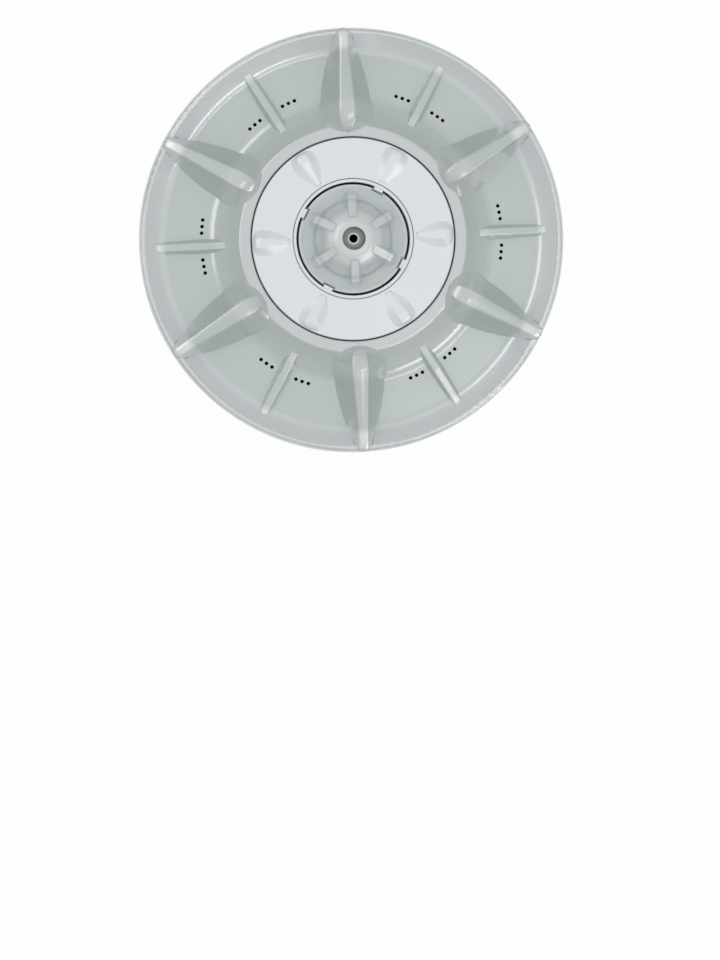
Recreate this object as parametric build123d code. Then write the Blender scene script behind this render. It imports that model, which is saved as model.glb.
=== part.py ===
from build123d import *
import math
import os

# Washing machine pulsator: the dished disc on the floor of the wash tub, with the ring cover
# clipped into its middle and the metal splined insert moulded into its hub.
# The frame: millimetres, +Z up through the washing face, the origin under the hub in the plane
# that the rib edges rest on. Radii are measured from the drive axis.

# Disc sizes
rim_radius = 180.0
wall = 2.5
plateau_height = 32.5
plateau_inner_radius = 86.4
plateau_outer_radius = 95.5
valley_height = 15.8
valley_inner_radius = 119.5
valley_outer_radius = 162.0
lip_height = 31.5
lip_width = 5.6
lip_fall_width = 2.4
rim_edge_height = 25.5
valley_inner_fillet = 16.0
valley_outer_fillet = 10.0
plateau_fillet = 3.5
lip_inner_fillet = 2.5
lip_outer_fillet = 2.0
skirt_inset = 1.8
skirt_thickness = 1.7
skirt_bottom = 12.5
skirt_root = 1.2

# Floor under the ring cover, and the tapered wall that stands between it and the hub bowl
floor_bottom = 3.5
floor_thickness = 2.5
hub_wall_foot_radius = 49.5
hub_wall_top_radius = 46.0
hub_wall_thickness = 1.9
hub_wall_height = 28.6

# Hub: bowl, dome and the boss round the insert
dome_height = 44.0
dome_top_radius = 14.0
dome_shoulder_radius = 24.0
dome_shoulder_height = 38.5
dome_foot_radius = 33.0
dome_foot_height = 20.5
dome_fillet = 12.0
bolt_well_radius = 9.75
boss_radius = 17.3
boss_bottom = 8.0

# Dome ribs
dome_rib_count = 6
dome_rib_inner_radius = 18.6
dome_rib_inner_height = 43.0
dome_rib_knee_radius = 36.5
dome_rib_outer_radius = 40.8
dome_rib_knee_height = 33.0
dome_rib_half_width = 3.2
dome_rib_draft = 0.3
dome_rib_wall = 1.9

# Underside ribs, rings and ejector pads
rib_count = 12
rib_start_angle = 15.0
rib_thickness = 1.8
rib_kink_radius = 109.0
rib_end_inset = 0.8
rib_root_depth = 1.0
inner_rib_thickness = 1.2
inner_rib_bottom = 10.5
ring_one_radius = 27.9
ring_three_radius = 67.0
ring_thickness = 1.8
pad_sides = 8
ring_pad_radius = 2.3
crossing_pad_radius = 2.4
rib_pin_radius = 2.5
rib_pin_circle = 148.0
rib_pin_proud = 0.3

# The mark on the plateau that shows where the first fin stands
mark_length = 3.6
mark_width = 0.6
mark_depth = 0.4

# Holes
water_hole_radius = 1.6
water_hole_sides = 12
water_hole_circle = 128.5
water_hole_angles = (5.1, 7.6, 10.1)
drain_hole_radius = 4.75
screw_hole_radius = 1.65
floor_hole_circle = 74.5
screw_rib_half_width = 7.9
screw_rib_thickness = 1.5
screw_rib_height = 2.5

# Clips of the ring cover, and their places in the disc
clip_count = 4
clip_start_angle = 60.0
clip_width = 8.0
clip_gap = 1.6
notch_depth = 2.2
slot_outer_radius = 58.0
slot_corner = 2.0
slot_land = 0.3
pocket_top = 13.5
pocket_inner_radius = 44.4
pocket_wall = 1.8

# Large fins on the washing face, each hollow underneath
fin_count = 6
fin_start_angle = 30.0
fin_nose_gap = 1.6
fin_tip_inset = 0.9
fin_shoulder_radius = 109.5
fin_half_width = 21.8
fin_tip_half_width = 4.4
fin_ridge_half_width = 6.6
fin_ridge_tip_half_width = 3.3
fin_height = 42.0
fin_tip_height = 34.0
fin_tip_drop = 2.2
fin_tip_round = 3.0
fin_tip_narrowest = 0.4
fin_taper_power = 1.9
fin_drop_power = 16
fin_nose_power = 2.2
fin_wall = 2.3
fin_cavity_tip_inset = 12.5
fin_cavity_tip_half_width = 6.4
fin_station_gap = 2.0
least_ridge = 0.5
least_rise = 0.2
least_flank = 0.1
tip_shares = (1.0, 0.3, 0.0)
fin_nose_shares = (0.98, 0.86, 0.5, 0.0)
fin_tip_shares = (0.22, 0.48, 0.85)

# Small fins between them: bars whose ends run into the slopes of the dish
small_fin_inner_radius = 106.5
small_fin_outer_radius = 166.3
small_fin_middle_radius = 132.0
small_fin_ridge_half_width = 3.1
small_fin_ridge_end_half_width = 2.7
small_fin_inner_height = 23.4
small_fin_height = 23.0
small_fin_outer_height = 20.4
small_fin_draft = 0.42
small_fin_tip_round = 2.4
small_fin_wall = 1.9
small_fin_cavity_inset = 9.0

# Ring cover
cover_gap = 0.9
cover_thickness = 2.2
cover_inner_radius = 48.0
cover_bezel_radius = 50.4
cover_bezel_drop = 0.4
cover_groove_width = 0.6
cover_groove_depth = 1.3
cover_bezel_depth = 8.0
cover_skirt_thickness = 1.6
cover_skirt_depth = 5.0
cover_edge_chamfer = 0.5
cover_pillar_radius = 4.2
cover_pilot_radius = 1.3
cover_pilot_depth = 12.0
clip_leg_thickness = 2.2
clip_leg_set = 0.6
clip_leg_bottom = 8.6
clip_tab_drop = 1.6
clip_tab_thickness = 5.0
clip_fit = 0.3
clip_barb_reach = 1.5
clip_barb_lip = 1.0
clip_leg_lead_in = 1.0

# Bumps on the ring cover
bump_count = 6
bump_nose_radius = 84.2
bump_shoulder_radius = 75.0
bump_tip_radius = 53.4
bump_half_width = 10.9
bump_tip_half_width = 2.2
bump_ridge_half_width = 4.2
bump_ridge_tip_half_width = 1.6
bump_nose_power = 3.4
bump_height = 4.6
bump_tip_height = 0.5
bump_tip_round = 0.8
bump_wall = 1.8

# Splined insert
insert_radius = 14.4
insert_bottom = 8.4
insert_flange_top = 19.0
insert_neck_radius = 11.6
insert_top = 36.0
insert_collar_sides = 8
insert_collar_radius = 15.6
insert_collar_bottom = 11.5
insert_collar_top = 16.0
insert_mark_angles = (77.0, 170.0, 257.0)
insert_mark_circle = 10.5
insert_mark_radius = 2.4
insert_mark_depth = 0.25
insert_step_radii = (8.1, 6.4, 4.7)
insert_step_depth = 0.7
bolt_hole_radius = 3.5
spline_teeth = 11
spline_tip_radius = 5.45
spline_root_radius = 6.4
spline_tooth_share = 0.42
spline_gap_taper = 0.72
spline_top = 27.0
spline_chamfer = 0.5

# Heights and radii that follow from the sizes above, and how far a cut runs past its wall
floor_top = floor_bottom + floor_thickness
floor_middle = floor_bottom + floor_thickness / 2
plateau_wall_radius = plateau_inner_radius + wall
slope_top_radius = rim_radius - lip_width
lip_crown_radius = rim_radius - lip_fall_width
cover_top = plateau_height
cover_bottom = cover_top - cover_thickness
cover_outer_radius = plateau_inner_radius - cover_gap
far = 3 * rim_radius
rib_embed = 0.35 * wall
past = 1.0


def around(shape, count, start):
    """Copies of a shape turned about the drive axis, evenly spaced from a start angle."""
    return [Rot(0, 0, start + 360.0 / count * i) * shape for i in range(count)]


def section(points, radii=None):
    """A closed face in the radial plane from (radius, height) points and, if any, their corner radii."""
    if radii is None:
        return Plane.XZ * make_face(Polyline(*points, close=True))
    return Plane.XZ * make_face(FilletPolyline(*points, radius=radii, close=True))


def upright(inner, outer, bottom, top):
    """The section of an upright ring wall."""
    return section([(inner, bottom), (outer, bottom), (outer, top), (inner, top)])


def turned(face):
    """The solid that a radial section sweeps round the drive axis."""
    return revolve(face, Axis.Z)


def disc(radius, bottom, top):
    """A plain upright cylinder on the drive axis."""
    return Pos(0, 0, bottom) * extrude(Circle(radius), top - bottom)


def lowered(line, depth):
    """The (radius, height) points of a line moved down square to itself, with mitred corners."""
    moved = []
    for i, (r, z, fillet_radius) in enumerate(line):
        before = line[max(i - 1, 0)]
        after = line[min(i + 1, len(line) - 1)]
        a = math.atan2(z - before[1], r - before[0]) if i > 0 else None
        b = math.atan2(after[1] - z, after[0] - r) if i < len(line) - 1 else None
        a = b if a is None else a
        b = a if b is None else b
        mid = (a + b) / 2
        reach = depth / math.cos((b - a) / 2)
        moved.append((r + reach * math.sin(mid), z - reach * math.cos(mid)))
    return moved


def walled(line, depth):
    """The section of a wall of even thickness under a line of (radius, height, fillet) points."""
    under = lowered(line, depth)
    upper = [(r, z) for r, z, fillet_radius in line]
    radii = [fillet_radius for r, z, fillet_radius in line]
    return section(upper + under[::-1], radii + [0] * len(under))


# The washing face from the plateau out to the lip, as (radius, height, fillet)
dish_line = [
    (plateau_inner_radius, plateau_height, 0),
    (plateau_outer_radius, plateau_height, plateau_fillet),
    (valley_inner_radius, valley_height, valley_inner_fillet),
    (valley_outer_radius, valley_height, valley_outer_fillet),
    (slope_top_radius, lip_height, lip_inner_fillet),
    (lip_crown_radius, lip_height, lip_outer_fillet),
    (rim_radius, rim_edge_height, 0),
]

# The hub's face from the bolt well out to the top of the tapered wall
hub_line = [
    (bolt_well_radius, dome_height, 0),
    (dome_top_radius, dome_height, dome_fillet),
    (dome_shoulder_radius, dome_shoulder_height, dome_fillet),
    (dome_foot_radius, dome_foot_height, 0),
    (hub_wall_top_radius - hub_wall_thickness, hub_wall_height, 0),
]


def edge_cut(radius, height, size):
    """The section that chamfers an upper outer edge."""
    return section([(radius - size, height), (radius, height - size), (radius + size, height + size)])


def height_on(line, r):
    """The height of a line of (radius, height, fillet) points at a radius, its fillets left out."""
    for (r0, z0, *rest), (r1, z1, *rest) in zip(line, line[1:]):
        if r <= r1:
            return z0 + (z1 - z0) * (r - r0) / (r1 - r0)
    return line[-1][1]


# The first ring reaches the middle of the dome's sloping wall
dome_slope = math.atan2(dome_shoulder_height - dome_foot_height, dome_foot_radius - dome_shoulder_radius)
ring_one_top = height_on(hub_line, ring_one_radius) - wall / 2 / math.cos(dome_slope)


def trapezoid(r, foot, ground, ridge, top, sink):
    """A fin's section at a radius: flanks that rise from the ground to a flat ridge."""
    rise = max(top - ground, least_rise)
    ridge = max(ridge, least_ridge)
    foot = max(foot, ridge + least_flank)
    low_half = foot + (foot - ridge) * sink / rise
    low_half = min(low_half, foot + 2 * sink)
    points = [(-low_half, ground - sink), (-ridge, top), (ridge, top), (low_half, ground - sink)]
    across = Plane(origin=(r, 0, 0), x_dir=(0, 1, 0), z_dir=(1, 0, 0))
    return across * make_face(Polyline(*points, close=True))


def rounded(left):
    """How far a rounded tip has widened, from the share of its round that is left to its end."""
    return fin_tip_narrowest + (1 - fin_tip_narrowest) * math.sqrt(1 - (1 - min(left, 1)) ** 2)


def fin(
    nose,
    shoulder,
    tip,
    foot,
    ridge,
    top,
    ground,
    bends=(),
    blunt=2.0,
    tip_round=0.0,
    drop=0.0,
    inset=0.0,
    sink=5.0,
):
    """A teardrop fin lofted through sections along its length, one of them at each bend of the ground.

    From the shoulder the height closes on the nose as a quarter of an ellipse, and so do the
    foot and ridge, or more bluntly where their power is over two. On the tip they narrow
    steadily to a rounded end. Each pair gives the value at the shoulder and at the tip.
    """
    inward = 1 if nose > tip else -1
    radii = [shoulder + (nose - shoulder) * share for share in fin_nose_shares]
    radii += [shoulder + (tip - shoulder) * share for share in fin_tip_shares]
    radii += [tip + inward * tip_round * share for share in tip_shares] if tip_round else [tip]
    low, high = min(radii), max(radii)
    bends = [r for r in bends if low + fin_station_gap / 2 < r < high - fin_station_gap / 2]
    radii = [r for r in radii if all(abs(r - bend) > fin_station_gap for bend in bends) or r in (low, high)]
    faces = []
    for r in sorted(radii + bends):
        toward_nose = (r - shoulder) * (nose - shoulder) > 0
        end = nose if toward_nose else tip
        share = (r - shoulder) / (end - shoulder)
        if toward_nose:
            round_off = (1 - share**blunt) ** (1 / blunt)
            base = ground(nose)
            half_width = foot[0] * round_off
            flat = ridge[0] * round_off
            height = base + (top[0] - base) * math.sqrt(1 - share**2)
        else:
            round_off = rounded(abs(tip - r) / tip_round) if tip_round else 1
            half_width = (foot[0] + (foot[1] - foot[0]) * share**fin_taper_power) * round_off
            flat = (ridge[0] + (ridge[1] - ridge[0]) * share) * round_off
            height = top[0] + (top[1] - top[0]) * share - drop * share**fin_drop_power
        faces.append(trapezoid(r, half_width - inset, ground(r), flat - inset / 2, height - inset, sink))
    return loft(faces, ruled=True)


dish_bends = (
    plateau_outer_radius,
    valley_inner_radius,
    valley_outer_radius,
    slope_top_radius,
    lip_crown_radius,
)


def dish_ground(r):
    """The height of the washing face at a radius."""
    return height_on(dish_line, r)


def large_fin():
    """A large fin along +X, from the plateau to the rim."""
    return fin(
        plateau_wall_radius + fin_nose_gap,
        fin_shoulder_radius,
        rim_radius - fin_tip_inset,
        (fin_half_width, fin_tip_half_width),
        (fin_ridge_half_width, fin_ridge_tip_half_width),
        (fin_height, fin_tip_height),
        dish_ground,
        bends=dish_bends,
        blunt=fin_nose_power,
        tip_round=fin_tip_round,
        drop=fin_tip_drop,
    )


def large_fin_hollow():
    """The hollow under a large fin along +X, which stops short of the fin's tip."""
    return fin(
        plateau_wall_radius + fin_nose_gap + fin_wall,
        fin_shoulder_radius,
        rim_radius - fin_cavity_tip_inset,
        (fin_half_width, fin_cavity_tip_half_width),
        (fin_ridge_half_width, fin_ridge_tip_half_width),
        (fin_height, fin_tip_height),
        dish_ground,
        bends=dish_bends,
        blunt=fin_nose_power,
        inset=fin_wall,
        sink=2 * wall + fin_wall,
    )


def small_fin(inset=0.0, shortened=0.0, sink=5.0):
    """A small fin along +X, a bar with drafted flanks, or with an inset the hollow under it."""
    ridge_line = [
        (small_fin_inner_radius, small_fin_inner_height),
        (small_fin_middle_radius, small_fin_height),
        (small_fin_outer_radius, small_fin_outer_height),
    ]
    tip = small_fin_outer_radius - shortened
    radii = [small_fin_inner_radius + shortened, small_fin_middle_radius]
    radii += [tip - small_fin_tip_round * share for share in tip_shares]
    faces = []
    for r in radii:
        at_end = r != small_fin_middle_radius
        flat = small_fin_ridge_end_half_width if at_end else small_fin_ridge_half_width
        if not inset:
            flat *= rounded((tip - r) / small_fin_tip_round)
        flat -= inset / 2
        top = height_on(ridge_line, r) - inset
        foot = flat + small_fin_draft * (top - valley_height)
        faces.append(trapezoid(r, foot, valley_height, flat, top, sink))
    return loft(faces, ruled=True)


def dome_rib(inset=0.0):
    """A rib of the hub dome along +X, or with an inset the hollow under it."""
    ridge_line = [
        (dome_rib_inner_radius, dome_rib_inner_height),
        (dome_rib_knee_radius, dome_rib_knee_height),
        (dome_rib_outer_radius, height_on(hub_line, dome_rib_outer_radius)),
    ]
    radii = (
        dome_rib_inner_radius + inset,
        dome_shoulder_radius,
        dome_foot_radius,
        dome_rib_knee_radius - inset / 2,
        dome_rib_outer_radius - inset,
    )
    faces = []
    for r in radii:
        ground = height_on(hub_line, r) - wall - inset
        top = max(height_on(ridge_line, r) - inset, ground + inset / 2)
        flat = dome_rib_half_width - inset / 2
        faces.append(trapezoid(r, flat + dome_rib_draft * (top - ground), ground, flat, top, inset))
    return loft(faces, ruled=True)


def above(line, depth):
    """All the space above a line of (radius, height, fillet) points lowered by a depth."""
    under = lowered(line, depth)
    return turned(section(under + [(under[-1][0], far), (under[0][0], far)]))


def shell():
    """The disc's turned walls: dish, lip, skirt, plateau wall, floor, hub wall, bowl, dome and boss."""
    skirt_outer = rim_radius - skirt_inset
    wall_inner_foot = hub_wall_foot_radius - hub_wall_thickness
    floor_outer = plateau_inner_radius + wall / 2
    boss_top = height_on(hub_line, boss_radius) - wall / 2
    ring_half = ring_thickness / 2
    tapered_wall = [
        (wall_inner_foot, 0),
        (hub_wall_foot_radius, 0),
        (hub_wall_foot_radius, floor_bottom),
        (hub_wall_top_radius, hub_wall_height),
        (hub_wall_top_radius - hub_wall_thickness, hub_wall_height),
        (wall_inner_foot, floor_bottom),
    ]
    whole = walled(dish_line, wall)
    whole += upright(skirt_outer - skirt_thickness, skirt_outer, skirt_bottom, rim_edge_height + skirt_root)
    whole += upright(plateau_inner_radius, plateau_wall_radius, floor_bottom, plateau_height - wall / 2)
    whole += upright(wall_inner_foot, floor_outer, floor_bottom, floor_top)
    whole += walled(hub_line, wall)
    whole += section(tapered_wall)
    whole += upright(bolt_well_radius, boss_radius, boss_bottom, boss_top)
    whole += upright(ring_one_radius - ring_half, ring_one_radius + ring_half, 0, ring_one_top)
    whole += upright(ring_three_radius - ring_half, ring_three_radius + ring_half, 0, floor_middle)
    return turned(whole)


def slab(points, thickness):
    """A flat web in the radial plane along +X from (radius, height) points."""
    face = Plane.XZ * make_face(Polyline(*points, close=True))
    return extrude(face, thickness / 2, both=True)


def outer_rib():
    """A rib along +X, from the first ring to the lip, set into the walls above it."""
    dish = lowered(dish_line, rib_embed)
    hub = lowered(hub_line, rib_embed)
    points = [
        (ring_one_radius, 0),
        (rib_kink_radius, 0),
        (rim_radius - rib_end_inset, skirt_bottom),
        (rim_radius - rib_end_inset, dish[-1][1]),
        *dish[-2:0:-1],
        (plateau_inner_radius + wall / 2, dish[0][1]),
        (plateau_inner_radius + wall / 2, floor_middle),
        (hub_wall_foot_radius - hub_wall_thickness / 2, floor_middle),
        (hub_wall_top_radius - hub_wall_thickness / 2, hub[-1][1]),
        hub[-2],
        (ring_one_radius, ring_one_top),
    ]
    return slab(points, rib_thickness)


def inner_rib():
    """A thin raised rib along +X, between the boss and the first ring."""
    hub = lowered(hub_line, rib_embed)
    points = [
        (boss_radius - rib_root_depth, inner_rib_bottom),
        (ring_one_radius, inner_rib_bottom),
        (ring_one_radius, ring_one_top),
        (boss_radius - rib_root_depth, height_on(hub, boss_radius)),
    ]
    return slab(points, inner_rib_thickness)


def pad(radius, circle, bottom, top):
    """A round pad along +X at a circle's radius."""
    return Pos(circle, 0, bottom) * extrude(Circle(radius), top - bottom)


def small_pad(radius, circle, bottom, top, sides=pad_sides):
    """A small pad or hole along +X, with a few flats for its round."""
    return Pos(circle, 0, bottom) * extrude(RegularPolygon(radius, sides), top - bottom)


def box_between(inner, outer, half_width, bottom, top, corner=0.0):
    """A box along +X from an inner to an outer radius, its upright corners rounded."""
    if corner:
        plan = RectangleRounded(outer - inner, 2 * half_width, corner)
    else:
        plan = Rectangle(outer - inner, 2 * half_width)
    return Pos((inner + outer) / 2, 0, bottom) * extrude(plan, top - bottom)


def screw_rib():
    """The low U-shaped rib round a screw hole along +X, open towards the third ring."""
    outer = screw_rib_half_width + screw_rib_thickness / 2
    inner = screw_rib_half_width - screw_rib_thickness / 2
    reach = floor_hole_circle - ring_three_radius
    plans = []
    for half in (outer, inner):
        leg = Pos(ring_three_radius + reach / 2, 0) * Rectangle(reach, 2 * half)
        plans.append(Pos(floor_hole_circle, 0) * Circle(half) + leg)
    bottom = floor_bottom - screw_rib_height
    low = extrude(plans[0] - plans[1], screw_rib_height + floor_thickness / 2)
    return Pos(0, 0, bottom) * low


def insert_envelope():
    """The insert's outside, which the disc is moulded round."""
    body = section(
        [
            (0, insert_bottom),
            (insert_radius, insert_bottom),
            (insert_radius, insert_flange_top),
            (insert_neck_radius, insert_flange_top + insert_radius - insert_neck_radius),
            (insert_neck_radius, insert_top),
            (0, insert_top),
        ]
    )
    collar = RegularPolygon(insert_collar_radius, insert_collar_sides)
    collar = Pos(0, 0, insert_collar_bottom) * extrude(collar, insert_collar_top - insert_collar_bottom)
    return turned(body) + collar


def wall_radius(z):
    """The outer radius of the tapered hub wall at a height."""
    share = (z - floor_bottom) / (hub_wall_height - floor_bottom)
    return hub_wall_foot_radius + (hub_wall_top_radius - hub_wall_foot_radius) * share


def build_disc():
    clip_half = clip_width / 2 + clip_gap
    disc_solid = shell()

    # Dome ribs and the hollows under them
    disc_solid += around(dome_rib(), dome_rib_count, fin_start_angle)
    disc_solid -= around(dome_rib(dome_rib_wall), dome_rib_count, fin_start_angle)

    # Fins stand on the washing face and are hollow from below
    face_space = above(dish_line, wall / 2)
    large = large_fin() & face_space
    small = small_fin() & face_space
    disc_solid += around(large, fin_count, fin_start_angle)
    disc_solid += around(small, fin_count, fin_start_angle + 180 / fin_count)
    disc_solid -= around(large_fin_hollow(), fin_count, fin_start_angle)
    hollow = small_fin(small_fin_wall, small_fin_cavity_inset, wall + 2)
    disc_solid -= around(hollow, fin_count, fin_start_angle + 180 / fin_count)

    # Ribs, pads and pins on the underside
    added = around(outer_rib(), rib_count, rib_start_angle)
    added += around(inner_rib(), rib_count, rib_start_angle)
    pad_top = height_on(hub_line, ring_one_radius + ring_pad_radius) - wall / 4
    added += around(small_pad(ring_pad_radius, ring_one_radius, 0, pad_top), rib_count, rib_start_angle)
    crossing = small_pad(crossing_pad_radius, ring_three_radius, 0, floor_middle)
    added += around(crossing, rib_count, rib_start_angle)
    pin_bottom = skirt_bottom * (rib_pin_circle - rib_kink_radius) / (rim_radius - rib_kink_radius)
    pin = small_pad(rib_pin_radius, rib_pin_circle, pin_bottom - rib_pin_proud, valley_height - wall / 2)
    added += around(pin, rib_count, rib_start_angle)
    added += around(screw_rib(), clip_count, clip_start_angle - 30)

    # Pocket walls behind the clips' barbs
    pocket = box_between(
        pocket_inner_radius - pocket_wall,
        wall_radius(floor_top) - hub_wall_thickness / 4,
        clip_half + pocket_wall,
        floor_bottom,
        pocket_top + pocket_wall,
    )
    added += around(pocket, clip_count, clip_start_angle)
    disc_solid += added

    # Openings: clip pockets, clip slots, rim notches, drain, screw and water holes, and the insert's seat
    cuts = around(
        box_between(pocket_inner_radius, hub_wall_foot_radius + past, clip_half, floor_top, pocket_top),
        clip_count,
        clip_start_angle,
    )
    slot = box_between(
        hub_wall_foot_radius + slot_land, slot_outer_radius, clip_half, 0, floor_top + past, slot_corner
    )
    cuts += around(slot, clip_count, clip_start_angle)
    notch_floor = cover_top - clip_tab_drop - clip_tab_thickness - clip_gap / 2
    notch = box_between(
        hub_wall_top_radius - notch_depth, hub_wall_top_radius + past, clip_half, notch_floor, dome_height
    )
    cuts += around(notch, clip_count, clip_start_angle)
    drain = pad(drain_hole_radius, floor_hole_circle, 0, floor_top + past)
    cuts += around(drain, clip_count, 0)
    cuts += around(drain, clip_count, clip_start_angle)
    screw_hole = pad(screw_hole_radius, floor_hole_circle, 0, floor_top + past)
    cuts += around(screw_hole, clip_count, clip_start_angle - 30)
    hole_ends = (valley_height - 2 * wall, valley_height + wall)
    hole = small_pad(water_hole_radius, water_hole_circle, *hole_ends, water_hole_sides)
    for angle in water_hole_angles:
        cuts += around(hole, fin_count, fin_start_angle + 180 / fin_count + angle)
        cuts += around(hole, fin_count, fin_start_angle + 180 / fin_count - angle)
    mark = box_between(
        plateau_wall_radius - mark_length / 2,
        plateau_wall_radius + mark_length / 2,
        mark_width / 2,
        plateau_height - mark_depth,
        plateau_height + past,
    )
    cuts.append(Rot(0, 0, fin_start_angle + 60) * mark)
    cuts.append(insert_envelope())
    return disc_solid - cuts


def build_cover():
    bezel_top = cover_top - cover_bezel_drop
    skirt_bottom_height = cover_bottom - cover_skirt_depth
    face = section(
        [
            (cover_inner_radius, bezel_top),
            (cover_bezel_radius, bezel_top),
            (cover_bezel_radius, cover_top - cover_groove_depth),
            (cover_bezel_radius + cover_groove_width, cover_top - cover_groove_depth),
            (cover_bezel_radius + cover_groove_width, cover_top),
            (cover_outer_radius, cover_top),
            (cover_outer_radius, skirt_bottom_height),
            (cover_outer_radius - cover_skirt_thickness, skirt_bottom_height),
            (cover_outer_radius - cover_skirt_thickness, cover_bottom),
            (cover_bezel_radius, cover_bottom),
            (cover_bezel_radius, cover_top - cover_bezel_depth),
            (cover_inner_radius, cover_top - cover_bezel_depth),
        ]
    )
    cover = turned(face - edge_cut(cover_outer_radius, cover_top, cover_edge_chamfer))

    def bump(inset=0.0, sink=cover_thickness / 2):
        return fin(
            bump_nose_radius - inset,
            bump_shoulder_radius,
            bump_tip_radius + inset,
            (bump_half_width, bump_tip_half_width + inset / 2),
            (bump_ridge_half_width, bump_ridge_tip_half_width + inset / 4),
            (cover_top + bump_height, cover_top + bump_tip_height),
            lambda r: cover_top,
            blunt=bump_nose_power,
            tip_round=bump_tip_round,
            inset=inset,
            sink=sink,
        )

    cover += around(bump(), bump_count, 0)
    cover -= around(bump(bump_wall, cover_thickness + past), bump_count, 0)

    # Pillars that stand on the disc's floor over its screw holes
    step = 360.0 / bump_count
    for i in range(clip_count):
        angle = clip_start_angle - 30 + i * 360.0 / clip_count
        under_bump = min(angle % step, step - angle % step) < 1
        top = cover_top + bump_height - bump_wall / 2 if under_bump else cover_top - cover_thickness / 2
        pillar = pad(cover_pillar_radius, floor_hole_circle, floor_top, top)
        pilot = pad(cover_pilot_radius, floor_hole_circle, floor_top, floor_top + cover_pilot_depth)
        cover += Rot(0, 0, angle) * (pillar - pilot)

    # Clips: a tab in the hub wall's notch, and a leg with a barb in the pocket below
    tab_inner = hub_wall_top_radius - notch_depth + clip_gap
    tab_top = cover_top - clip_tab_drop
    tab = box_between(
        tab_inner, cover_inner_radius + past, clip_width / 2, tab_top - clip_tab_thickness, tab_top
    )
    barb_top = pocket_top - clip_fit
    barb_tip = wall_radius(pocket_top) - clip_barb_reach
    leg_inner = cover_bezel_radius - clip_leg_set
    leg_outer = leg_inner + clip_leg_thickness
    leg = slab(
        [
            (leg_outer - clip_leg_thickness / 2, clip_leg_bottom),
            (leg_outer, clip_leg_bottom + clip_leg_lead_in),
            (leg_outer, cover_bottom + cover_thickness / 2),
            (leg_inner, cover_bottom + cover_thickness / 2),
            (leg_inner, barb_top),
            (barb_tip, barb_top),
            (barb_tip, barb_top - clip_barb_lip),
            (leg_inner, clip_leg_bottom),
        ],
        clip_width,
    )
    cover += around(tab + leg, clip_count, clip_start_angle)
    return cover


def build_insert():
    body = insert_envelope()

    # The socket: a round hole with grooves between its teeth
    groove = (1 - spline_tooth_share) * math.pi * spline_tip_radius / spline_teeth
    tooth_gap = Polygon(
        (spline_tip_radius - 1, -groove),
        (spline_root_radius, -groove * spline_gap_taper),
        (spline_root_radius, groove * spline_gap_taper),
        (spline_tip_radius - 1, groove),
        align=None,
    )
    socket = Circle(spline_tip_radius)
    socket += [Rot(0, 0, 360.0 / spline_teeth * i) * tooth_gap for i in range(spline_teeth)]
    body -= Pos(0, 0, insert_bottom) * extrude(socket, spline_top - insert_bottom)
    lead_in = section(
        [
            (0, insert_bottom),
            (spline_root_radius + spline_chamfer / 2, insert_bottom),
            (spline_tip_radius, insert_bottom + spline_chamfer + spline_root_radius - spline_tip_radius),
            (0, insert_bottom + spline_chamfer + spline_root_radius - spline_tip_radius),
        ]
    )
    body -= turned(lead_in)
    body -= disc(bolt_hole_radius, spline_top, insert_top)

    # Turned steps round the bolt hole, and the marks of the ejector pins on the lower face
    for i, step_radius in enumerate(insert_step_radii):
        body -= disc(step_radius, insert_top - insert_step_depth * (i + 1), insert_top)
    for angle in insert_mark_angles:
        mark = pad(insert_mark_radius, insert_mark_circle, insert_bottom, insert_bottom + insert_mark_depth)
        body -= Rot(0, 0, angle) * mark
    return body


os.makedirs("parts", exist_ok=True)
pieces = {
    "pulsator_disc": build_disc(),
    "ring_cover": build_cover(),
    "spline_insert": build_insert(),
}
for name, piece in pieces.items():
    box = piece.bounding_box()
    print(name, len(piece.solids()), round(piece.volume), box.min, box.max)
    export_step(piece, f"parts/{name}.step")
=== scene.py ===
# %% [markdown]
# # A washing machine pulsator
# A pulsator is the finned disc on the floor of a top-loading washer's tub. This one is a dished
# plastic moulding with six tall fins and six low ones. A whiter ring clips in round its hub, and
# a metal insert in the middle carries the toothed socket for the drive shaft.
# The measured model comes in first. Everything made here is laid over it in the same place.

# %% Load the measured model
import math
import bpy
import numpy as np
from mathutils import Matrix, Vector


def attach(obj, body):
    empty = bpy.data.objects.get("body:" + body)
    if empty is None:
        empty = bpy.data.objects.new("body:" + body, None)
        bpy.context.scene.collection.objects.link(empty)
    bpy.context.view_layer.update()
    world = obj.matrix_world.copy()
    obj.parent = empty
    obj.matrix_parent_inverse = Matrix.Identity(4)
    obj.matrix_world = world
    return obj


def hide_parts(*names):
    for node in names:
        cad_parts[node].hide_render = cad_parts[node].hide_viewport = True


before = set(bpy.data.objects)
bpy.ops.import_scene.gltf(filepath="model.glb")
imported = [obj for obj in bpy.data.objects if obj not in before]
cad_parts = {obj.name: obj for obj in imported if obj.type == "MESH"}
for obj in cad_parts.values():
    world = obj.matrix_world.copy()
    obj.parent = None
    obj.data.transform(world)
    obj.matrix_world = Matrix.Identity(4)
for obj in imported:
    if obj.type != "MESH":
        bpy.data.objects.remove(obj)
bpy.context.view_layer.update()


def rounded(point, digits):
    """A point's coordinates for printing."""
    return [round(x, digits) for x in point]


# %% [markdown]
# ## The photograph's view
# The photograph looks straight down on the face, only a few degrees off the axis towards the
# lower left, with the disc turned a little. How far off the camera stood can only be judged from
# how much larger the high circles look than the low ones, and about a metre fits. The view could
# be matched by hand in the viewport, but numbers measured in the picture can be checked and
# improved one at a time. The picture shows the disc high in the frame, so the lens is shifted
# and the camera stays aimed at the hub.

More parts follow.
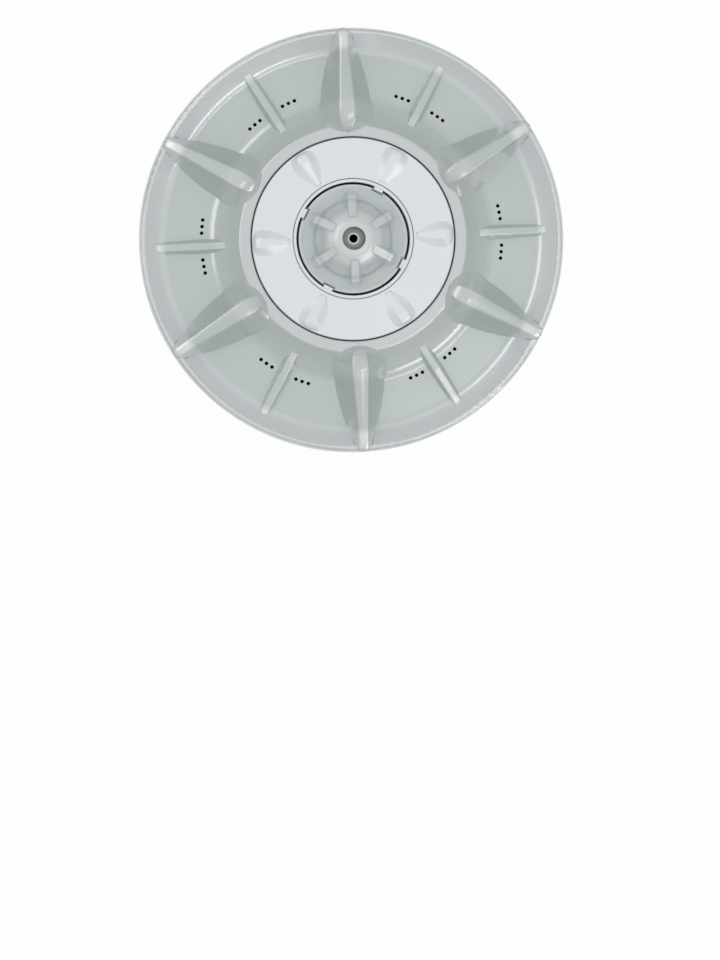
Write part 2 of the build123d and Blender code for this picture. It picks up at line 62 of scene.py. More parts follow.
# %% Camera
picture_width = 720
frame_centre_px = (360.0, 480.0)
hub_px = (353.37, 238.65)
px_per_mm = 1.187
camera_distance = 1.05
sensor_width = 36
nearest_seen = 0.01
roll = math.radians(2.9)
image_right = Vector((math.cos(roll), -math.sin(roll), 0))
image_up = Vector((math.sin(roll), math.cos(roll), 0))
aim = Vector((0, 0, 0.0315))
lean_right, lean_up = -0.05, -0.03

camera_data = bpy.data.cameras.new("photo_camera")
camera = bpy.data.objects.new("photo_camera", camera_data)
bpy.context.scene.collection.objects.link(camera)
toward_camera = (image_right * lean_right + image_up * lean_up + Vector((0, 0, 1))).normalized()
camera.location = aim + toward_camera * camera_distance
right = image_up.cross(toward_camera).normalized()
up = toward_camera.cross(right).normalized()
camera.matrix_world = Matrix(
    (
        (right.x, up.x, toward_camera.x, camera.location.x),
        (right.y, up.y, toward_camera.y, camera.location.y),
        (right.z, up.z, toward_camera.z, camera.location.z),
        (0, 0, 0, 1),
    )
)
camera_data.sensor_fit = "HORIZONTAL"
camera_data.sensor_width = sensor_width
camera_data.lens = px_per_mm * camera_distance * 1000 / picture_width * sensor_width
camera_data.shift_x = (frame_centre_px[0] - hub_px[0]) / picture_width
camera_data.shift_y = (hub_px[1] - frame_centre_px[1]) / picture_width
camera_data.clip_start = nearest_seen
bpy.context.scene.camera = camera
print("lens", round(camera_data.lens, 1), "mm, camera at", rounded(camera.location, 3))

# %% [markdown]
# ## Helpers for shader nodes
# A shader is a tree of small nodes joined by links. Blender makes a node in one call and sets
# each of its inputs in another, which is long to read. The same few nodes serve the sky, the
# floor and the finishes, so each kind gets a helper that makes it, joins it and gives its output.


# %% Numbers and colours
def map_range(tree, value, from_low, from_high, to_low, to_high):
    """A number that goes from to_low to to_high while value goes from from_low to from_high."""
    node = tree.nodes.new("ShaderNodeMapRange")
    limits = {"From Min": from_low, "From Max": from_high, "To Min": to_low, "To Max": to_high}
    for socket, limit in limits.items():
        node.inputs[socket].default_value = limit
    tree.links.new(value, node.inputs["Value"])
    return node.outputs["Result"]


def combine(tree, operation, first, second):
    """Two numbers put together by an operation such as MAXIMUM or MULTIPLY."""
    node = tree.nodes.new("ShaderNodeMath")
    node.operation = operation
    tree.links.new(first, node.inputs[0])
    tree.links.new(second, node.inputs[1])
    return node.outputs["Value"]


def mix_colours(tree, share, first, second):
    """The first colour with a share of the second. Each is three numbers or another node's output."""
    node = tree.nodes.new("ShaderNodeMix")
    node.data_type = "RGBA"
    tree.links.new(share, node.inputs["Factor"])
    for socket, colour in (("A", first), ("B", second)):
        if isinstance(colour, tuple):
            node.inputs[socket].default_value = (*colour, 1)
        else:
            tree.links.new(colour, node.inputs[socket])
    return node.outputs["Result"]


def mix_shaders(tree, share, first, second):
    """The first shader with a share of the second."""
    node = tree.nodes.new("ShaderNodeMixShader")
    tree.links.new(share, node.inputs["Fac"])
    tree.links.new(first, node.inputs[1])
    tree.links.new(second, node.inputs[2])
    return node.outputs["Shader"]


# %% [markdown]
# ## Plain studio light
# In the photograph the light comes evenly from above: the floor of the dish has the same tone all
# round, and the steep sides of the fins are clearly darker. So the sky here is bright overhead
# and dim near the horizon, while the camera itself sees plain white. Large lamps could give such
# light too, but a sky has no place from which it shows up as a square in the polish.
# The white panels light nothing: only glossy rays meet them. They stand where the curved edges
# mirror them, and draw the bright streaks of a polished moulding.

# %% Sky
dim_below, bright_above = 0.1, 0.95
overhead_strength = 1.34
sky_colour, plain_white_colour = (0.985, 0.99, 1.0, 1), (1, 1, 1, 1)

scene = bpy.context.scene
scene.view_settings.view_transform = "Standard"
world = bpy.data.worlds.new("plain_sky")
scene.world = world
world.use_nodes = True
tree = world.node_tree
tree.nodes.clear()
toward = tree.nodes.new("ShaderNodeTexCoord")
split = tree.nodes.new("ShaderNodeSeparateXYZ")
tree.links.new(toward.outputs["Generated"], split.inputs["Vector"])
sky = tree.nodes.new("ShaderNodeBackground")
sky.inputs["Color"].default_value = sky_colour
strength = map_range(tree, split.outputs["Z"], dim_below, bright_above, 0, overhead_strength)
tree.links.new(strength, sky.inputs["Strength"])
plain_white = tree.nodes.new("ShaderNodeBackground")
plain_white.inputs["Color"].default_value = plain_white_colour
plain_white.inputs["Strength"].default_value = 1.0
ray = tree.nodes.new("ShaderNodeLightPath")
background = mix_shaders(
    tree, ray.outputs["Is Camera Ray"], sky.outputs["Background"], plain_white.outputs["Background"]
)
world_out = tree.nodes.new("ShaderNodeOutputWorld")
tree.links.new(background, world_out.inputs["Surface"])
print("sky strength overhead", overhead_strength)


# %% Panels
def panel(name, bearing, lean, width, height, brightness, distance=3.0):
    """A white panel for reflections alone, at a bearing and a lean away from overhead, in degrees."""
    data = bpy.data.lights.new(name, "AREA")
    data.shape = "RECTANGLE"
    data.size, data.size_y = width, height
    data.energy = brightness * math.pi * width * height
    panel_object = bpy.data.objects.new(name, data)
    scene.collection.objects.link(panel_object)
    panel_object.visible_diffuse = False
    turn, lean = math.radians(bearing), math.radians(lean)
    flat = math.sin(lean)
    away = Vector((flat * math.cos(turn), flat * math.sin(turn), math.cos(lean)))
    panel_object.location = aim + distance * away
    panel_object.rotation_euler = (-away).to_track_quat("-Z", "Y").to_euler()
    return panel_object


panel("panel_lower_right", bearing=-50, lean=18, width=0.9, height=0.4, brightness=5.5)
panel("panel_low_right", bearing=-48, lean=58, width=2.2, height=0.9, brightness=6.5)
panel("panel_upper_left", bearing=152, lean=40, width=2.6, height=1.1, brightness=4.2)

# %% [markdown]
# ## The floor
# A flat pale floor lies in the plane of the rib edges. It looks white to the camera and still
# takes the disc's shadow: most of what the camera and glossy surfaces see of it is its own white,
# and the rest is lit by the sky. Stronger lamps would whiten the floor too, but they would bleach
# the disc with it. Under the disc the floor has no light of its own and is painted near black as
# painted shade, so that what shows through the small holes is black, as it is in the photograph.

# %% Floor
reach, floor_drop = 4.0, 0.0002
floor_mesh = bpy.data.meshes.new("floor")
floor_corners = [(-reach, -reach, 0), (reach, -reach, 0), (reach, reach, 0), (-reach, reach, 0)]
floor_mesh.from_pydata(floor_corners, [], [(0, 1, 2, 3)])
floor = bpy.data.objects.new("floor", floor_mesh)
scene.collection.objects.link(floor)
floor.location.z = -floor_drop
print("floor", 2 * reach, "metres wide")

# %% The floor's white, and its painted shade under the disc
# Painted shade: inside the first radius the floor is painted near black.
painted_shade_within, white_beyond = 0.168, 0.176
own_light = 0.96
painted_shade_colour, white_paint = (0.02, 0.02, 0.02), (0.93, 0.93, 0.93)

white_floor = bpy.data.materials.new("white_floor")
white_floor.use_nodes = True
tree = white_floor.node_tree
tree.nodes.clear()
place = tree.nodes.new("ShaderNodeTexCoord")
distance = tree.nodes.new("ShaderNodeVectorMath")
distance.operation = "LENGTH"
tree.links.new(place.outputs["Object"], distance.inputs[0])
outside = map_range(tree, distance.outputs["Value"], painted_shade_within, white_beyond, 0, own_light)
matt = tree.nodes.new("ShaderNodeBsdfDiffuse")
tree.links.new(mix_colours(tree, outside, painted_shade_colour, white_paint), matt.inputs["Color"])
glow = tree.nodes.new("ShaderNodeEmission")
glow.inputs["Color"].default_value = plain_white_colour
glow.inputs["Strength"].default_value = 1.0
ray = tree.nodes.new("ShaderNodeLightPath")
sees_white = combine(tree, "MAXIMUM", ray.outputs["Is Camera Ray"], ray.outputs["Is Glossy Ray"])
sees_white = combine(tree, "MAXIMUM", sees_white, ray.outputs["Is Transmission Ray"])
glow_share = combine(tree, "MULTIPLY", sees_white, outside)
surface = mix_shaders(tree, glow_share, matt.outputs["BSDF"], glow.outputs["Emission"])
floor_out = tree.nodes.new("ShaderNodeOutputMaterial")
tree.links.new(surface, floor_out.inputs["Surface"])
floor_mesh.materials.append(white_floor)
print("floor finish", white_floor.name)

# %% [markdown]
# ## The finishes
# The disc is a milky grey-green moulding with a good polish, the cover ring is a whiter one, and
# the insert is a die-cast metal. A moulding is never one flat colour: the melt leaves faint
# clouds, and handling leaves a fine haze in the polish. Two layers of noise in the object's own
# coordinates vary the colour and the roughness a little, at a few centimetres and a millimetre.
# Milky plastic looks paler where light gets in from both sides, as in the slope by the rim
# and in the hub, and this light is painted into the disc's colour as paler rings. The edges of
# the gaps, the foot of the dome and the groove of the cover's bezel are painted dark, as painted
# shade. Curves over the distance from the axis give each ring its painted light, its painted
# shade and its gloss. Painted pictures could show all this, but they would need an unwrapped
# surface, and noise and curves stay sharp from any distance.


# %% A curve over the distance from the axis
curve_reach = 0.2


def ring_curve(tree, rings):
    """A value for each distance from the axis, with straight lines between the rings.

    rings pairs a distance in millimetres with a value from 0 to 1.
    """
    place = tree.nodes.new("ShaderNodeTexCoord")
    flat = tree.nodes.new("ShaderNodeVectorMath")
    flat.operation = "MULTIPLY"
    flat.inputs[1].default_value = (1, 1, 0)
    far = tree.nodes.new("ShaderNodeVectorMath")
    far.operation = "LENGTH"
    share = tree.nodes.new("ShaderNodeMath")
    share.operation = "DIVIDE"
    share.inputs[1].default_value = curve_reach
    curve = tree.nodes.new("ShaderNodeFloatCurve")
    points = curve.mapping.curves[0].points
    points[0].location = (0, rings[0][1])
    points[1].location = (1, rings[-1][1])
    for radius, value in rings:
        points.new(radius / (1000 * curve_reach), value)
    for point in points:
        point.handle_type = "VECTOR"
    curve.mapping.update()
    tree.links.new(place.outputs["Object"], flat.inputs[0])
    tree.links.new(flat.outputs["Vector"], far.inputs[0])
    tree.links.new(far.outputs["Value"], share.inputs[0])
    tree.links.new(share.outputs[0], curve.inputs["Value"])
    return curve.outputs["Value"]


# %% Noise, tones and small bumps
def noise(tree, scale, detail):
    """Noise in the object's own coordinates, with scale cells to a metre."""
    place = tree.nodes.new("ShaderNodeTexCoord")
    node = tree.nodes.new("ShaderNodeTexNoise")
    node.inputs["Scale"].default_value = scale
    node.inputs["Detail"].default_value = detail
    tree.links.new(place.outputs["Object"], node.inputs["Vector"])
    return node.outputs["Fac"]


def two_tones(tree, value, dark, light, dark_at=0, light_at=1):
    """A colour that goes evenly from dark to light while value goes from dark_at to light_at."""
    node = tree.nodes.new("ShaderNodeValToRGB")
    ends = node.color_ramp.elements
    ends[0].position = dark_at
    ends[0].color = (*dark, 1)
    ends[1].position = light_at
    ends[1].color = (*light, 1)
    tree.links.new(value, node.inputs["Fac"])
    return node.outputs["Color"]


def small_bumps(tree, height, strength, depth):
    """Normals that lean as if the surface rose by up to depth metres where height is 1."""
    node = tree.nodes.new("ShaderNodeBump")
    node.inputs["Strength"].default_value = strength
    node.inputs["Distance"].default_value = depth
    tree.links.new(height, node.inputs["Height"])
    return node.outputs["Normal"]


# %% A moulded plastic
noise_low, noise_high = 0.3, 0.7
cloud_scale, cloud_detail, cloud_bump, cloud_depth = 14, 3, 0.04, 0.0004
haze_scale, haze_detail, haze = 900, 2, 0.06
coat_roughness = 0.13
plastic_ior = 1.5


def moulded_plastic(name, pale, deep, roughness, ring_tones, coat, coat_rings=None):
    """A polished plastic whose colour drifts between two tones, with a fine haze in its polish.

    ring_tones pairs rings with a colour of painted light or painted shade: the value at each ring is
    the share of that colour.
    coat is the weight of the clear coat, and coat_rings changes it with the distance.
    """
    material = bpy.data.materials.new(name)
    material.use_nodes = True
    tree = material.node_tree
    shader = tree.nodes["Principled BSDF"]
    clouds = noise(tree, cloud_scale, cloud_detail)
    colour = two_tones(tree, clouds, deep, pale, noise_low, noise_high)
    for rings, tone in ring_tones:
        colour = mix_colours(tree, ring_curve(tree, rings), colour, tone)
    tree.links.new(colour, shader.inputs["Base Color"])
    grain = noise(tree, haze_scale, haze_detail)
    polish = map_range(tree, grain, noise_low, noise_high, roughness, roughness + haze)
    tree.links.new(polish, shader.inputs["Roughness"])
    tree.links.new(small_bumps(tree, clouds, cloud_bump, cloud_depth), shader.inputs["Normal"])
    shader.inputs["IOR"].default_value = plastic_ior
    shader.inputs["Coat Roughness"].default_value = coat_roughness
    shader.inputs["Coat Weight"].default_value = coat
    if coat_rings:
        tree.links.new(ring_curve(tree, coat_rings), shader.inputs["Coat Weight"])
    return material


# %% The plastic of the disc
# The near-white tone paints light into the colour, and the near-black tone paints shade.
painted_light_tone, painted_shade_tone = (0.93, 0.95, 0.96), (0.012, 0.014, 0.014)
# Painted light: these rings are painted paler, as light shining through the thin milky walls.
disc_painted_light = (
    (45, 0.36),
    (50, 0.05),
    (86, 0.2),
    (95, 0.18),
    (97, 0.06),
    (114, 0.14),
    (120, 0),
    (158, 0),
    (164, 0.52),
    (174, 0.48),
    (177, 0.15),
)
# Painted shade: these rings are painted dark, in the gap round the cover and at the foot of the dome.
disc_painted_shade = ((30, 0), (32.6, 0.2), (35, 0), (84, 0.5), (86.6, 0.5), (86.9, 0))
disc_finish = moulded_plastic(
    "disc_plastic",
    pale=(0.475, 0.525, 0.515),
    deep=(0.455, 0.503, 0.493),
    roughness=0.26,
    ring_tones=[(disc_painted_light, painted_light_tone), (disc_painted_shade, painted_shade_tone)],
    coat=0.85,
    coat_rings=((40, 0.12), (50, 0.85)),
)
print("plastic", disc_finish.name)

# %% The plastic of the cover
# Painted shade: these rings of the cover are painted dark, in the groove of the bezel and along its
# outer edge.
cover_painted_shade = ((50.1, 0), (50.4, 0.75), (51.0, 0.75), (51.3, 0), (84.7, 0), (85.0, 0.6), (86, 0.6))
cover_finish = moulded_plastic(
    "cover_plastic",
    pale=(0.755, 0.80, 0.81),
    deep=(0.74, 0.785, 0.795),
    roughness=0.34,
    ring_tones=[(cover_painted_shade, painted_shade_tone)],
    coat=0.3,
)
print("plastic", cover_finish.name)

# %% A die-cast metal
metal_dark, metal_light = (0.36, 0.385, 0.38), (0.6, 0.615, 0.61)
# The near-black tone paints shade into the well.
well_shade_tone = (0.045, 0.055, 0.05)
cast_scale, cast_detail, cast_bump, cast_depth = 700, 4, 0.15, 0.0002
smoothest, roughest = 0.38, 0.6
well_bottom, well_edge = 0.030, 0.031
# Painted shade: the steps of the well are painted dark, darkest at the corner of each step.
well_painted_shade = (
    (3.4, 0.9),
    (3.7, 0.1),
    (4.7, 0.15),
    (5.0, 0.75),
    (7.0, 0.6),
    (7.4, 0.85),
    (8.6, 0.65),
    (9.0, 0.9),
    (11, 0.8),
)


def cast_metal(name):
    """A light metal with a cast skin: small grains turn its polish and its surface a little.

    The steps inside the well, above well_bottom, are painted dark as painted shade.
    """
    material = bpy.data.materials.new(name)
    material.use_nodes = True
    tree = material.node_tree
    shader = tree.nodes["Principled BSDF"]
    shader.inputs["Metallic"].default_value = 1.0
    grain = noise(tree, cast_scale, cast_detail)
    place = tree.nodes.new("ShaderNodeTexCoord")
    split = tree.nodes.new("ShaderNodeSeparateXYZ")
    tree.links.new(place.outputs["Object"], split.inputs["Vector"])
    in_well = map_range(tree, split.outputs["Z"], well_bottom, well_edge, 0, 1)
    # painted shade, only inside the well
    well_shade_share = combine(tree, "MULTIPLY", in_well, ring_curve(tree, well_painted_shade))
    clean = two_tones(tree, grain, metal_dark, metal_light)
    tree.links.new(mix_colours(tree, well_shade_share, clean, well_shade_tone), shader.inputs["Base Color"])
    polish = map_range(tree, grain, 0, 1, smoothest, roughest)
    tree.links.new(polish, shader.inputs["Roughness"])
    tree.links.new(small_bumps(tree, grain, cast_bump, cast_depth), shader.inputs["Normal"])
    return material


insert_finish = cast_metal("insert_metal")
print("metal", insert_finish.name)

# %% [markdown]
# ## The two mouldings
# The measured disc and cover have the right form, but they come as loose triangles with flat
# shading, which shows on a polished surface. A copy with its doubled corners merged takes smooth
# shading where faces meet at a small angle, and each face counts by its area, so that flats stay
# flat and the narrow bands between them turn the light. Subdividing the copy would round it more,
# but it would also pull its measured edges out of place. The outer skins of the fins and bumps
# are left out of the copies, because finer ones are made for them below.

# %% Merge a copy of a measured node
merge_steps = 1e7
sharp_degrees = 26
flats_count = 50
least_area = 1e-30


def smooth_copy(node, name, raised_forms):
    """A node's triangles on shared corners: places that are equal in merge_steps to a metre become one.

    raised_forms holds functions that say, from the middle and the normal of each triangle,
    which of them belong to a skin that is made again.
    """
    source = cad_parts[node].data
    places = np.empty(len(source.vertices) * 3)
    source.vertices.foreach_get("co", places)
    places = places.reshape(-1, 3)
    corners = np.empty(len(source.loops), np.int64)
    source.loops.foreach_get("vertex_index", corners)
    steps = np.round(places * merge_steps).astype(np.int64)
    keys, index = np.unique(steps, axis=0, return_inverse=True)
    shared = np.zeros((len(keys), 3))
    shared[index.ravel()] = places
    triangles = index.ravel()[corners].reshape(-1, 3)
    a, b, c = (shared[triangles[:, k]] for k in range(3))
    square = np.cross(b - a, c - a)
    size = np.linalg.norm(square, axis=1)
    kept = size > 0
    middle = 1000 * (a + b + c) / 3
    normal = square / np.maximum(size, least_area)[:, None]
    for belongs in raised_forms:
        kept &= ~belongs(middle, normal)
    mesh = bpy.data.meshes.new(name)
    mesh.from_pydata(shared.tolist(), [], triangles[kept].tolist())
    mesh.shade_smooth()
    mesh.set_sharp_from_angle(angle=math.radians(sharp_degrees))
    piece = bpy.data.objects.new(name, mesh)
    scene.collection.objects.link(piece)
    even = piece.modifiers.new("even_shading", "WEIGHTED_NORMAL")
    even.keep_sharp = True
    even.weight = flats_count
    print(name, len(mesh.vertices), "corners", len(mesh.polygons), "triangles")
    return piece


# %% [markdown]
# ## Where the raised forms stand
# A large fin, a small fin and a bump are one kind of form: a long drop shape that stands on a
# ground line, with flanks that rise to a flat ridge. Each repeats six times round the axis. To
# find its triangles in the measured model, a point is turned back into the first copy's place.
# A triangle belongs to the skin if it lies over the ground there and faces away from its core.

# %% Ground lines, in millimetres
dish_radii = np.array([86.4, 95.5, 119.5, 162.0, 174.4, 177.6, 180.0])
dish_heights = np.array([32.5, 32.5, 15.8, 15.8, 31.5, 31.5, 25.5])
cover_top = 32.5
copies = 6
copy_turn = math.radians(360 / copies)


def dish_ground(r):
    """Straight lines between the corners of the dish's profile."""
    return np.interp(r, dish_radii, dish_heights)


def cover_ground(r):
    """The flat top of the cover."""
    return np.full_like(r, cover_top)


print("ground lines from", dish_radii[0], "to", dish_radii[-1], "mm")

# %% The test for a skin, in millimetres
core_from_inner, core_from_outer, core_depth = 10, 15, 5
past_inner, past_outer = 0.5, 0.8
end_reach = 1.7
end_band, end_height, end_facing = 1, 0.3, 0.7
under_ground, ridge_height, flank_facing = 0.2, 1.6, 0.25


def skin_test(first_angle, inner, outer, half_width, end_half, ground):
    """A test for the skins of six like forms, the first at an angle, from an inner to an outer radius.

    The core is the middle line, a little in from both ends and below the ground, and a triangle
    of the skin faces away from it. It is over the ground, and it is high, or a steep flank, or
    at an end and facing along the form. Within end_reach of the outer end only what lies within
    end_half of the middle line counts.
    """

    def belongs(middle, normal):
        angle = np.arctan2(middle[:, 1], middle[:, 0]) - math.radians(first_angle)
        back = np.round(angle / copy_turn) * copy_turn + math.radians(first_angle)
        cos, sin = np.cos(back), np.sin(back)
        x = middle[:, 0] * cos + middle[:, 1] * sin
        y = -middle[:, 0] * sin + middle[:, 1] * cos
        nx = normal[:, 0] * cos + normal[:, 1] * sin
        ny = -normal[:, 0] * sin + normal[:, 1] * cos
        over = middle[:, 2] - ground(np.hypot(x, y))
        core = np.clip(x, inner + core_from_inner, outer - core_from_outer)
        away = nx * (x - core) + ny * y + normal[:, 2] * (over + core_depth) > 0
        width = np.where(np.hypot(x, y) < outer - end_reach, half_width, end_half)
        near = (x > inner - past_inner) & (x < outer + past_outer) & (np.abs(y) < width)
        outer_end = (x > outer - end_band) & (nx > end_facing) & (over > end_height)
        inner_end = (x < inner + end_band) & (nx < -end_facing)
        raised = (over > ridge_height) | (np.abs(ny) > flank_facing) | outer_end | inner_end
        return near & away & (over > -under_ground) & raised

    return belongs


# %% Where each kind of form begins and ends, and the tests for their skins
large_angle, large_nose, large_tip = 30, 90.5, 179.1
small_angle, small_start, small_end = 0, 106.5, 166.3
bump_angle, bump_tip, bump_nose = 0, 53.4, 84.2
large_fin_skin = skin_test(
    large_angle, large_nose, large_tip, half_width=23.0, end_half=3.4, ground=dish_ground
)
small_fin_skin = skin_test(
    small_angle, small_start, small_end, half_width=7.2, end_half=7.2, ground=dish_ground
)
bump_skin = skin_test(
    bump_angle, bump_tip, bump_nose, half_width=11.6, end_half=8.5, ground=cover_ground
)
print("large fins from", large_nose, "to", large_tip, "mm, small fins to", small_end, "mm")

# %% The disc
disc_moulding = smooth_copy("pulsator_disc", "disc_moulding", [large_fin_skin, small_fin_skin])
disc_moulding.data.materials.append(disc_finish)
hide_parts("pulsator_disc")
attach(disc_moulding, "root")

# %% The cover
cover_moulding = smooth_copy("ring_cover", "cover_moulding", [bump_skin])
cover_moulding.data.materials.append(cover_finish)
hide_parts("ring_cover")
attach(cover_moulding, "root")

# %% [markdown]
# ## The fins and bumps
# The real moulding has to slip out of its mould, so every section across these forms has flanks
# that lean evenly, a small round at each edge and a ridge that is nearly flat. They could be
# shaped by hand from a subdivided box. Here the skin is computed, because its widths and heights
# are known at every place and a regular grid takes the light evenly. One parameter runs along the
# form and the other across its section. Along the form the widths and the height follow a quarter
# of an ellipse to the blunt nose and an even taper to the tip. Its lower edge is sunk a little
# into the wall that it stands on, and deeper where a wide section stands on the inner slope,
# which falls away beside it.

# %% A skin from sections
across_ridge, across_round, across_flank = 5, 7, 10
hair = 0.02
widest_ridge, widest_edge = 0.98, 0.9
tiny = 1e-6


def skin_grid(r, foot, ground, ridge, top, edge, sink, crown):
    """Points of a skin along +X: rows follow the length, and each row is one section from side to side.

    Half a section is the ridge from the middle line, then an arc of the edge radius that turns
    from flat to the flank's slope, then the straight flank down past the ground by sink. The
    crown lifts the ridge by one less the square of the share of its half width. A hair of
    height keeps a section from vanishing where the ridge meets the ground.
    """
    rise = np.maximum(top - ground, hair)
    ridge = np.minimum(ridge, widest_ridge * foot)
    slope = np.arctan2(rise, foot - ridge)
    edge = np.minimum(edge, widest_edge * ridge / np.tan(slope / 2) + tiny)
    tangent = edge * np.tan(slope / 2)
    t = np.linspace(0, 1, across_ridge)[None, :]
    y_ridge = (ridge - tangent)[:, None] * t
    z_ridge = np.repeat(top[:, None], across_ridge, axis=1)
    turn = slope[:, None] * np.linspace(0, 1, across_round)[None, 1:]
    y_round = (ridge - tangent)[:, None] + edge[:, None] * np.sin(turn)
    z_round = (top - edge)[:, None] + edge[:, None] * np.cos(turn)
    low_y = foot + np.minimum((foot - ridge) / rise * sink, 2 * sink)
    low_z = ground - sink
    t = np.linspace(0, 1, across_flank)[None, 1:]
    y_flank = y_round[:, -1:] * (1 - t) + low_y[:, None] * t
    z_flank = z_round[:, -1:] * (1 - t) + low_z[:, None] * t
    y = np.hstack([y_ridge, y_round, y_flank])
    z = np.hstack([z_ridge, z_round, z_flank])
    z += crown * np.clip(1 - (y / np.maximum(ridge, tiny)[:, None]) ** 2, 0, 1)
    y = np.hstack([-y[:, :0:-1], y])
    z = np.hstack([z[:, :0:-1], z])
    x = np.repeat(r[:, None], y.shape[1], axis=1)
    return np.stack([x, y, z], axis=2)


# %% A drop-shaped form
nose_rows, side_rows, tip_rows = 22, 46, 8
foot_power, drop_power = 1.9, 16
quarter_turn = math.pi / 2


def half_round(left, length):
    """The height of a quarter circle of radius 1, with a distance left to its end out of its length."""
    short = 1 - np.clip(left / length, 0, 1)
    return np.sqrt(np.maximum(1 - short**2, 0))


def drop_form(
    nose, shoulder, tip, foot, ridge, top, ground, tip_round, blunt, drop, edge, sink, crown
):
    """The grid of a drop-shaped form from its nose over its shoulder to its tip.

    foot, ridge and top each hold a value at the shoulder and one at the tip. From the shoulder
    to the nose the height follows a quarter of an ellipse: it is multiplied by the root of one
    less the square of the share. The widths do the same with the power blunt in place of the
    square. To the tip the foot narrows with the share to the power foot_power, the ridge and the
    height go evenly, and the height also falls by drop with the share to the power drop_power.
    The last tip_round is closed as a half round. sink pairs radii with depths, with straight
    lines between them.
    """
    length = abs(tip - shoulder)
    quarter = np.sin(np.linspace(1, 0, nose_rows) * quarter_turn)
    even = np.linspace(0, 1, side_rows)[1:-1] * (1 - tip_round / length)
    close = 1 - tip_round / length * (1 - np.sin(np.linspace(0, 1, tip_rows) * quarter_turn))
    share = np.concatenate([even, close])
    tip_side = shoulder + (tip - shoulder) * share
    r = np.concatenate([shoulder + (nose - shoulder) * quarter, tip_side])
    fall = np.sqrt(np.maximum(1 - quarter**2, 0))
    narrow = np.maximum(1 - quarter**blunt, 0) ** (1 / blunt)
    closing = half_round(np.abs(tip - tip_side), tip_round)
    foot_side = (foot[0] + (foot[1] - foot[0]) * share**foot_power) * closing
    ridge_side = (ridge[0] + (ridge[1] - ridge[0]) * share) * closing
    base = ground(np.array([nose]))[0]
    top_nose = base + (top[0] - base) * fall
    top_side = top[0] + (top[1] - top[0]) * share - drop * share**drop_power
    ends = np.concatenate([fall, closing])
    return skin_grid(
        r,
        np.concatenate([foot[0] * narrow, foot_side]),
        ground(r),
        np.concatenate([ridge[0] * narrow, ridge_side]),
        np.concatenate([top_nose, top_side]),
        edge * ends,
        np.interp(r, *sink),
        crown * ends[:, None],
    )


# %% Six copies round the axis
def skin_piece(name, grid, first_angle, finish):
    """Six copies of a grid turned round the axis, as one piece whose faces point outwards."""
    rows, columns = grid.shape[:2]
    index = np.arange(rows * columns).reshape(rows, columns)
    quads = [index[:-1, :-1], index[1:, :-1], index[1:, 1:], index[:-1, 1:]]
    quads = np.stack(quads, axis=-1).reshape(-1, 4)
    points, faces = [], []
    for k in range(copies):
        turn = math.radians(first_angle) + k * copy_turn
        cos, sin = math.cos(turn), math.sin(turn)
        spin = np.array([[cos, sin, 0], [-sin, cos, 0], [0, 0, 1]])
        points.append(grid.reshape(-1, 3) @ spin / 1000)
        faces.append(quads + k * rows * columns)
    points, faces = np.vstack(points), np.vstack(faces)
    mesh = bpy.data.meshes.new(name)
    mesh.from_pydata(points.tolist(), [], faces.tolist())
    normals = np.empty(len(mesh.polygons) * 3)
    mesh.polygons.foreach_get("normal", normals)
    if normals.reshape(-1, 3)[:, 2].sum() < 0:
        mesh.flip_normals()
    mesh.shade_smooth()
    piece = bpy.data.objects.new(name, mesh)
    scene.collection.objects.link(piece)
    mesh.materials.append(finish)
    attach(piece, "root")
    print(name, len(mesh.polygons), "faces")
    return piece


# %% Large fins
large_grid = drop_form(
    nose=large_nose,
    shoulder=109.5,
    tip=large_tip,
    foot=(21.8, 4.4),
    ridge=(6.6, 3.3),
    top=(41.7, 33.6),
    ground=dish_ground,
    tip_round=3.4,
    blunt=2.2,
    drop=2.2,
    edge=1.6,
    sink=((90, 93, 97, 112, 120, 165, 170), (1.0, 1.7, 2.8, 2.8, 1.0, 1.0, 2.2)),
    crown=0.6,
)
large_fins = skin_piece("large_fins", large_grid, large_angle, disc_finish)

# %% [markdown]
# ## The small fins
# A small fin is a bar with an even ridge. It looks like a lens from above, because its flanks
# lean out as they go down, and the slopes of the dish rise to meet the ridge at both ends. Its
# half width at the ground is that of the ridge and 0.42 of the height of the ridge over the ground.

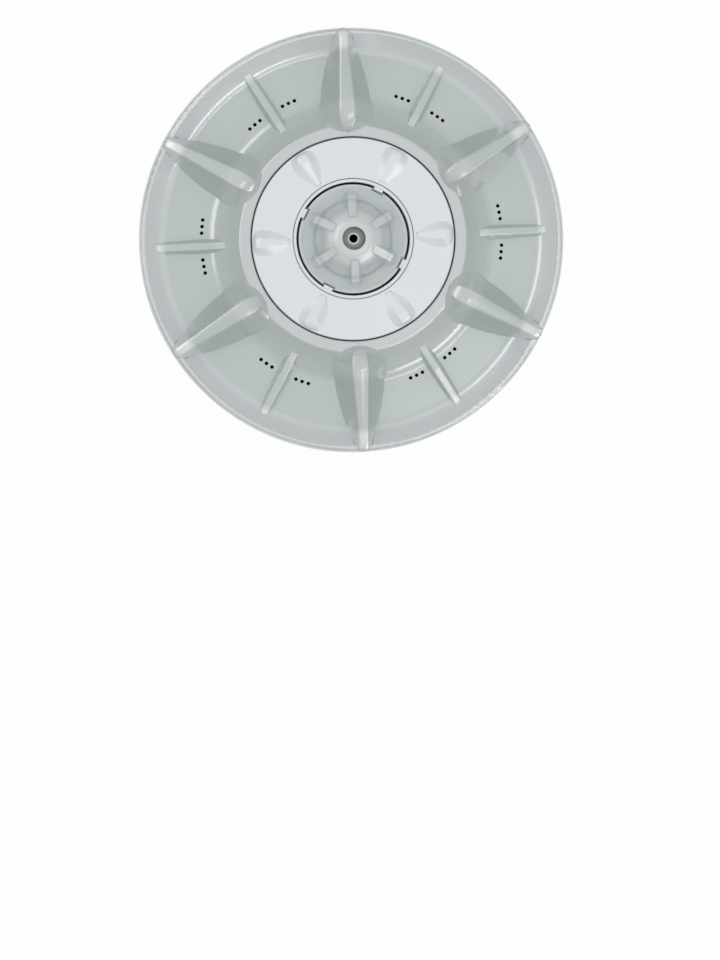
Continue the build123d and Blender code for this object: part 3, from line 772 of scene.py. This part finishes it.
# %% Small fins
small_middle, end_round = 132.0, 2.6
small_places = [small_start, small_middle, small_end]
small_halves, small_heights = [2.7, 3.1, 2.7], [23.4, 23.0, 20.4]
small_edge, small_sink, small_crown = 0.5, 0.9, 0.12
flank_lean = 0.42
bar_rows, end_rows = 54, 9
along_bar = np.linspace(small_start, small_end - end_round, bar_rows)
along_end = small_end - end_round * np.cos(np.linspace(0, 1, end_rows)[1:] * quarter_turn)
small_r = np.concatenate([along_bar, along_end])
small_round = half_round(small_end - small_r, end_round)
bar_half = np.interp(small_r, small_places, small_halves)
small_top = np.interp(small_r, small_places, small_heights)
small_ground = dish_ground(small_r)
small_rise = np.maximum(small_top - small_ground, hair)
small_grid = skin_grid(
    small_r,
    foot=(bar_half + flank_lean * small_rise) * small_round + hair,
    ground=np.minimum(small_ground, small_top - hair),
    ridge=bar_half * small_round,
    top=small_top,
    edge=small_edge * small_round,
    sink=small_sink,
    crown=small_crown * small_round[:, None],
)
small_fins = skin_piece("small_fins", small_grid, small_angle, disc_finish)

# %% [markdown]
# ## The bumps of the cover
# The cover has six low bumps that point the other way, with the blunt nose outwards. They help
# the ring to grip the water as the fins do. They are the same drop form on the cover's flat top.

# %% Bumps
bump_grid = drop_form(
    nose=bump_nose,
    shoulder=75.0,
    tip=bump_tip,
    foot=(10.9, 2.2),
    ridge=(4.2, 1.6),
    top=(37.1, 33.0),
    ground=cover_ground,
    tip_round=1.6,
    blunt=3.4,
    drop=0.0,
    edge=1.0,
    sink=((0,), (0.6,)),
    crown=0.2,
)
cover_bumps = skin_piece("cover_bumps", bump_grid, bump_angle, cover_finish)

# %% [markdown]
# ## The metal insert
# The insert is a small body with sharp edges. It could be merged and smoothed like the mouldings,
# but its measured mesh looks the same at this size. So it stays in the scene as it is and only
# takes the cast metal in place of its plain finish.

# %% Insert
insert_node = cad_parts["spline_insert"]
insert_node.data.materials.clear()
insert_node.data.materials.append(insert_finish)
print("insert finish", [m.name for m in insert_node.data.materials])
